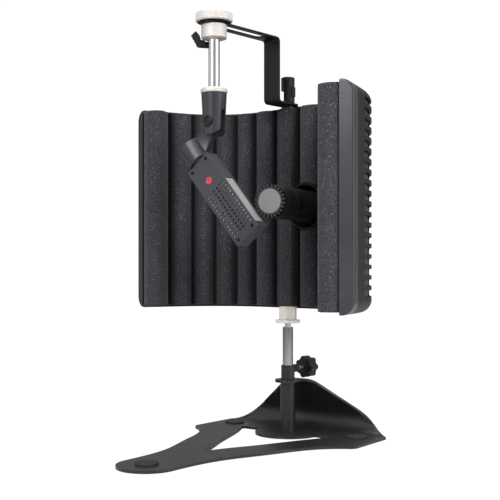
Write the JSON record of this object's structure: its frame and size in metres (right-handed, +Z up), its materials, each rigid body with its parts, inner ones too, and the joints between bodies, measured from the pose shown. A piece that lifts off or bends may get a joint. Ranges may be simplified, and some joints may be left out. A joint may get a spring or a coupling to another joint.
{
  "type": "microphone reflection filter",
  "caption": "Free-standing curved acoustic screen with lobed foam, a steel plate base, a height-adjustable pole, a top bracket with a tilting clip, and a microphone through a rear port.",
  "frame": {"origin": "on the floor, under the middle of the overall box; the pole stands 136.9 mm behind it", "axes": "+Z up along the pole; -Y is the hollow side that the singer faces; +X is to the right of a person who looks into the hollow side"},
  "size_m": [0.4186, 0.4258, 0.612],
  "materials": {
    "black_oxide": "blackened",
    "black_plastic": "moulded, fine texture",
    "bracket_paint": "satin black paint",
    "brass": "turned",
    "chrome": "polished",
    "clip_plastic": "satin moulded",
    "felt": "wool felt",
    "foam": "open-cell foam",
    "magnet": "ground",
    "mic_mesh": "woven mesh",
    "mic_paint": "satin dark grey",
    "powder_coat": "fine powder coat",
    "rear_mic_paint": "satin black",
    "rubber": "matt",
    "satin_aluminium": "bead blasted",
    "sheet_aluminium": "mill finish",
    "steel": "machined",
    "trim_plastic": "satin"
  },
  "bodies": {
    "base": {"base_plate": "powder_coat", "base_feet": "rubber", "outer_tube": "powder_coat", "tube_foot_screw": "steel", "tube_bush": "black_plastic", "clamp_boss": "black_plastic"},
    "height_knob": {"star_knob": "black_plastic", "knob_screw": "steel"},
    "pole": {"inner_tube": "chrome", "inner_tube_plug": "black_plastic", "thread_stud": "steel"},
    "lock_ring": {"lock_ring": "satin_aluminium"},
    "shield": {"hex_coupling": "satin_aluminium", "coupling_nut": "steel", "spine": "powder_coat", "outer_shell": "black_plastic", "right_end_trim": "trim_plastic", "left_end_trim": "trim_plastic", "punched_sheet": "sheet_aluminium", "felt_layer": "felt", "foam_liner": "foam", "port_liner": "black_plastic", "shell_screws": "black_oxide", "rear_clamp_screws": "black_oxide", "rear_clamp": "black_plastic", "foot_bolt": "steel", "foot_washer": "black_oxide"},
    "rear_clamp_screw": {"rear_clamp_thumb_screw": "black_plastic"},
    "bracket": {"top_bracket": "bracket_paint"},
    "foot_lever": {"foot_lever": "black_plastic"},
    "carriage": {"carriage_stud": "steel", "slot_washer": "rubber", "tube_collar": "satin_aluminium", "lever_pin": "steel"},
    "disc_nut": {"disc_nut": "satin_aluminium"},
    "collar_lever": {"collar_lever": "black_plastic"},
    "clip": {"clip_tube": "chrome", "adapter_ring": "satin_aluminium", "clip_fork": "clip_plastic", "clip_pivot_screw": "black_oxide", "clip_pivot_nut": "black_oxide"},
    "holder": {"clip_holder": "clip_plastic"},
    "ribbon_mic": {"ribbon_front_plate": "mic_paint", "ribbon_back_plate": "mic_paint", "ribbon_plate_screws": "black_oxide", "ribbon_housing": "mic_paint", "ribbon_mesh": "mic_mesh", "ribbon_magnets": "magnet", "ribbon_yoke": "steel", "ribbon_element": "sheet_aluminium", "ribbon_tail": "mic_paint", "ribbon_connector": "brass"},
    "rear_mic": {"rear_mic_body": "rear_mic_paint", "rear_mic_shoulder_ring": "chrome", "rear_mic_head": "rear_mic_paint", "rear_mic_tooth_ring": "rear_mic_paint", "rear_mic_grille": "mic_mesh", "rear_mic_capsule": "brass", "rear_mic_connector": "brass"}
  },
  "joints": [
    {"name": "pole_height", "type": "slide", "parent": "base", "child": "pole", "axis": [0, 0, 1], "range_m": [-0.055, 0.012]},
    {"name": "height_knob_turn", "type": "hinge", "parent": "base", "child": "height_knob", "pos_m": [0, 0.16989, 0.1012], "axis": [0, 1, 0], "continuous": true},
    {"name": "lock_ring_turn", "type": "hinge", "parent": "pole", "child": "lock_ring", "pos_m": [0, 0.13689, 0.1737], "axis": [0, 0, 1], "continuous": true},
    {"name": "shield_swivel", "type": "hinge", "parent": "pole", "child": "shield", "pos_m": [0, 0.13689, 0.188], "axis": [0, 0, 1], "continuous": true},
    {"name": "bracket_swing", "type": "hinge", "parent": "shield", "child": "bracket", "pos_m": [0, 0.13689, 0.504], "axis": [0, 0, 1], "range_deg": [-15, 0]},
    {"name": "foot_lever_turn", "type": "hinge", "parent": "shield", "child": "foot_lever", "pos_m": [0, 0.13689, 0.523], "axis": [0, 0, 1], "range_deg": [-60, 60]},
    {"name": "carriage_slide", "type": "slide", "parent": "bracket", "child": "carriage", "axis": [0, 1, 0], "range_m": [-0.006, 0.006]},
    {"name": "disc_nut_turn", "type": "hinge", "parent": "carriage", "child": "disc_nut", "pos_m": [0, -0.02411, 0.605], "axis": [0, 0, 1], "continuous": true},
    {"name": "collar_lever_turn", "type": "hinge", "parent": "carriage", "child": "collar_lever", "pos_m": [-0.00885, -0.01431, 0.57], "axis": [0, 0, 1], "range_deg": [-60, 0]},
    {"name": "clip_turn", "type": "hinge", "parent": "carriage", "child": "clip", "pos_m": [0, -0.02411, 0.538], "axis": [0, 0, 1], "range_deg": [-50, 5]},
    {"name": "holder_tilt", "type": "hinge", "parent": "clip", "child": "holder", "pos_m": [0, -0.02411, 0.459], "axis": [-0.1219, 0.9925, 0], "range_deg": [0, 35]},
    {"name": "mic_roll", "type": "hinge", "parent": "holder", "child": "ribbon_mic", "pos_m": [0.02203, -0.0214, 0.3507], "axis": [-0.6367, -0.0782, 0.7672], "range_deg": [-15, 15]},
    {"name": "rear_mic_slide", "type": "slide", "parent": "shield", "child": "rear_mic", "axis": [-0.2857, 0.9583, 0], "range_m": [0, 0.03]},
    {"name": "rear_clamp_screw_turn", "type": "hinge", "parent": "shield", "child": "rear_clamp_screw", "pos_m": [0.02843, 0.19035, 0.3815], "axis": [0.9583, 0.2857, 0], "continuous": true}
  ]
}
